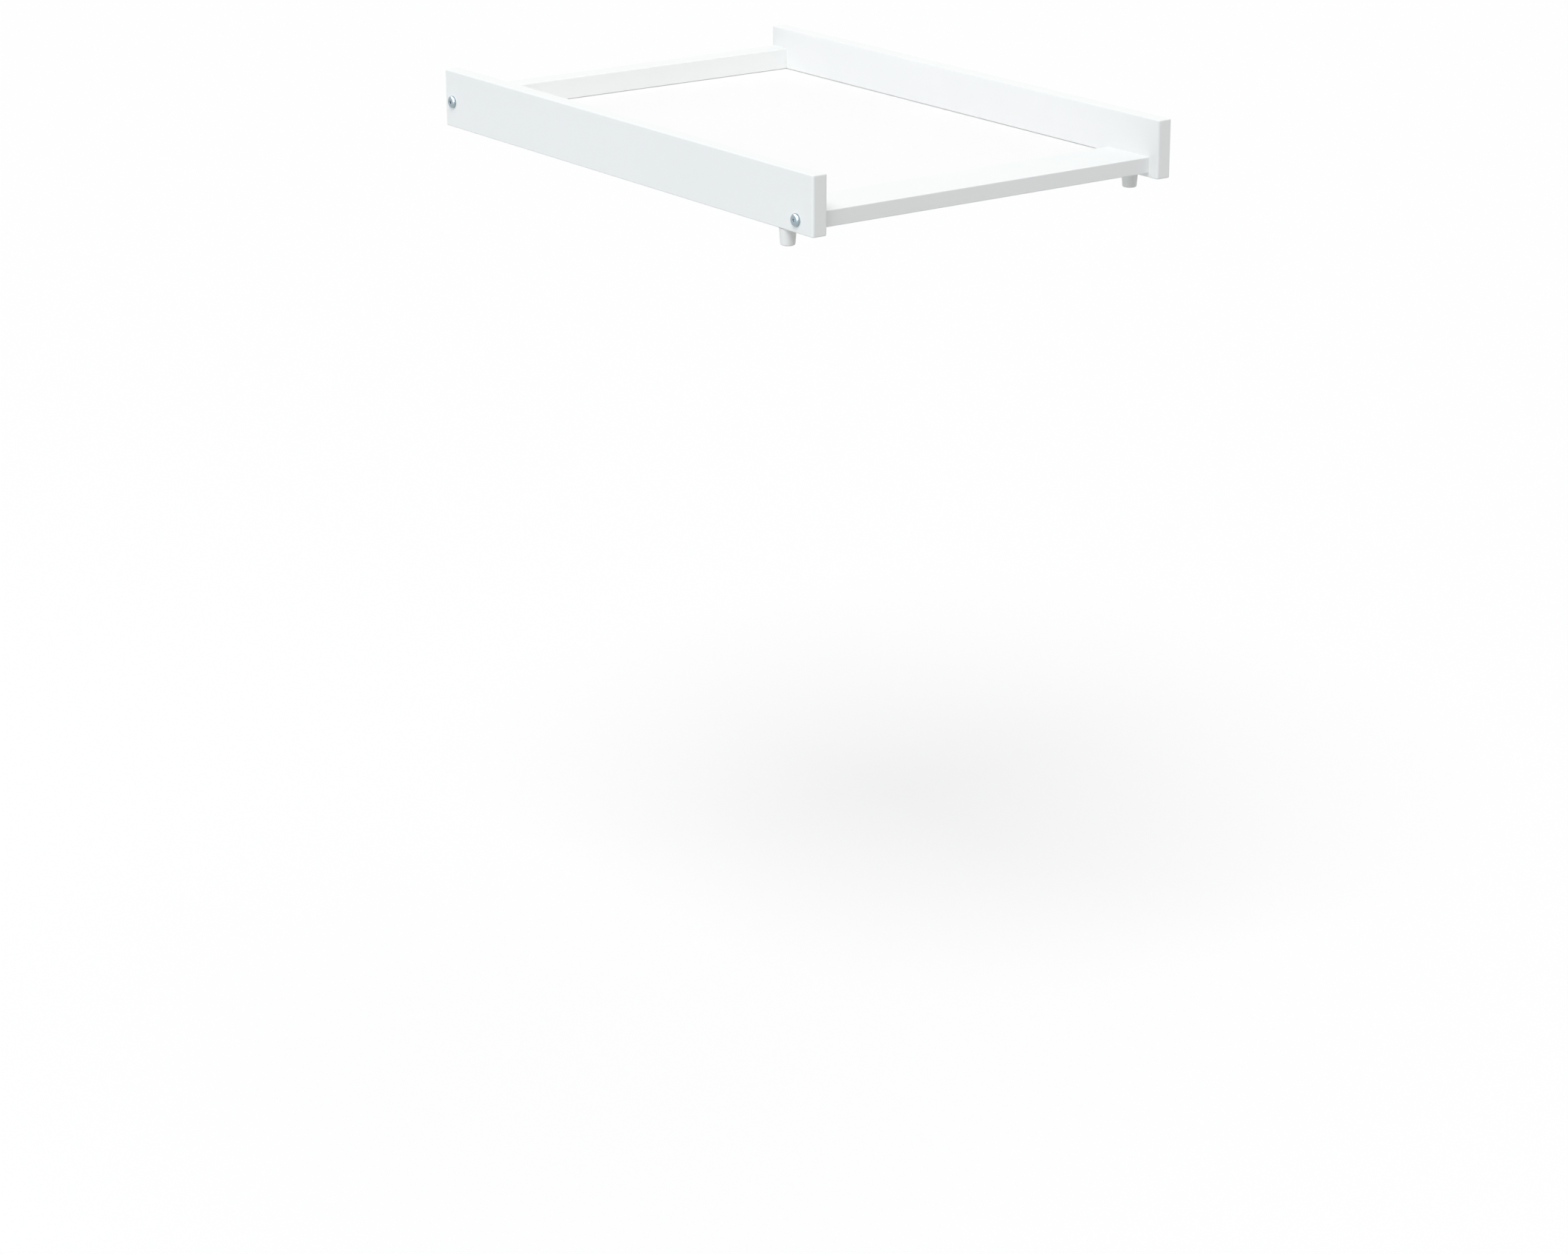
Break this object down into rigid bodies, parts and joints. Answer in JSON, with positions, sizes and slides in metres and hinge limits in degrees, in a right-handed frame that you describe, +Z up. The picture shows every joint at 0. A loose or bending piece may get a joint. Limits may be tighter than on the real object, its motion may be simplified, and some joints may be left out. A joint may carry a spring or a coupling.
{
  "type": "cot top changer",
  "caption": "White open-fronted changing tray with raised side boards, a low front rail, a rear rail and a grooved-in base panel, located on a cot by pegs.",
  "frame": {"origin": "under the middle of the tray, level with the tips of the two pegs (bottom centre of the bounding box)", "axes": "+X to the tray's right, +Y from the open front to the rear rail, +Z up out of the tray"},
  "size_m": [0.5294, 0.762, 0.09],
  "materials": {
    "white_lacquer": "satin white lacquer on board",
    "white_panel": "white faced fibreboard, satin",
    "peg_plastic": "moulded, slightly matt",
    "zinc_steel": "bright zinc plated",
    "beech": "raw fluted beech"
  },
  "bodies": {
    "root": {"barrel_nut_front_left": "zinc_steel", "barrel_nut_front_right": "zinc_steel", "barrel_nut_rear_left": "zinc_steel", "barrel_nut_rear_right": "zinc_steel", "base_panel": "white_panel", "bolt_front_left": "zinc_steel", "bolt_front_right": "zinc_steel", "bolt_rear_left": "zinc_steel", "bolt_rear_right": "zinc_steel", "dowel_left": "beech", "dowel_right": "beech", "front_rail": "white_lacquer", "left_side_board": "white_lacquer", "panel_screw_1": "zinc_steel", "panel_screw_2": "zinc_steel", "panel_screw_3": "zinc_steel", "panel_screw_4": "zinc_steel", "peg_left": "peg_plastic", "peg_right": "peg_plastic", "peg_screw_left": "zinc_steel", "peg_screw_right": "zinc_steel", "rear_rail": "white_lacquer", "right_side_board": "white_lacquer"}
  },
  "joints": []
}
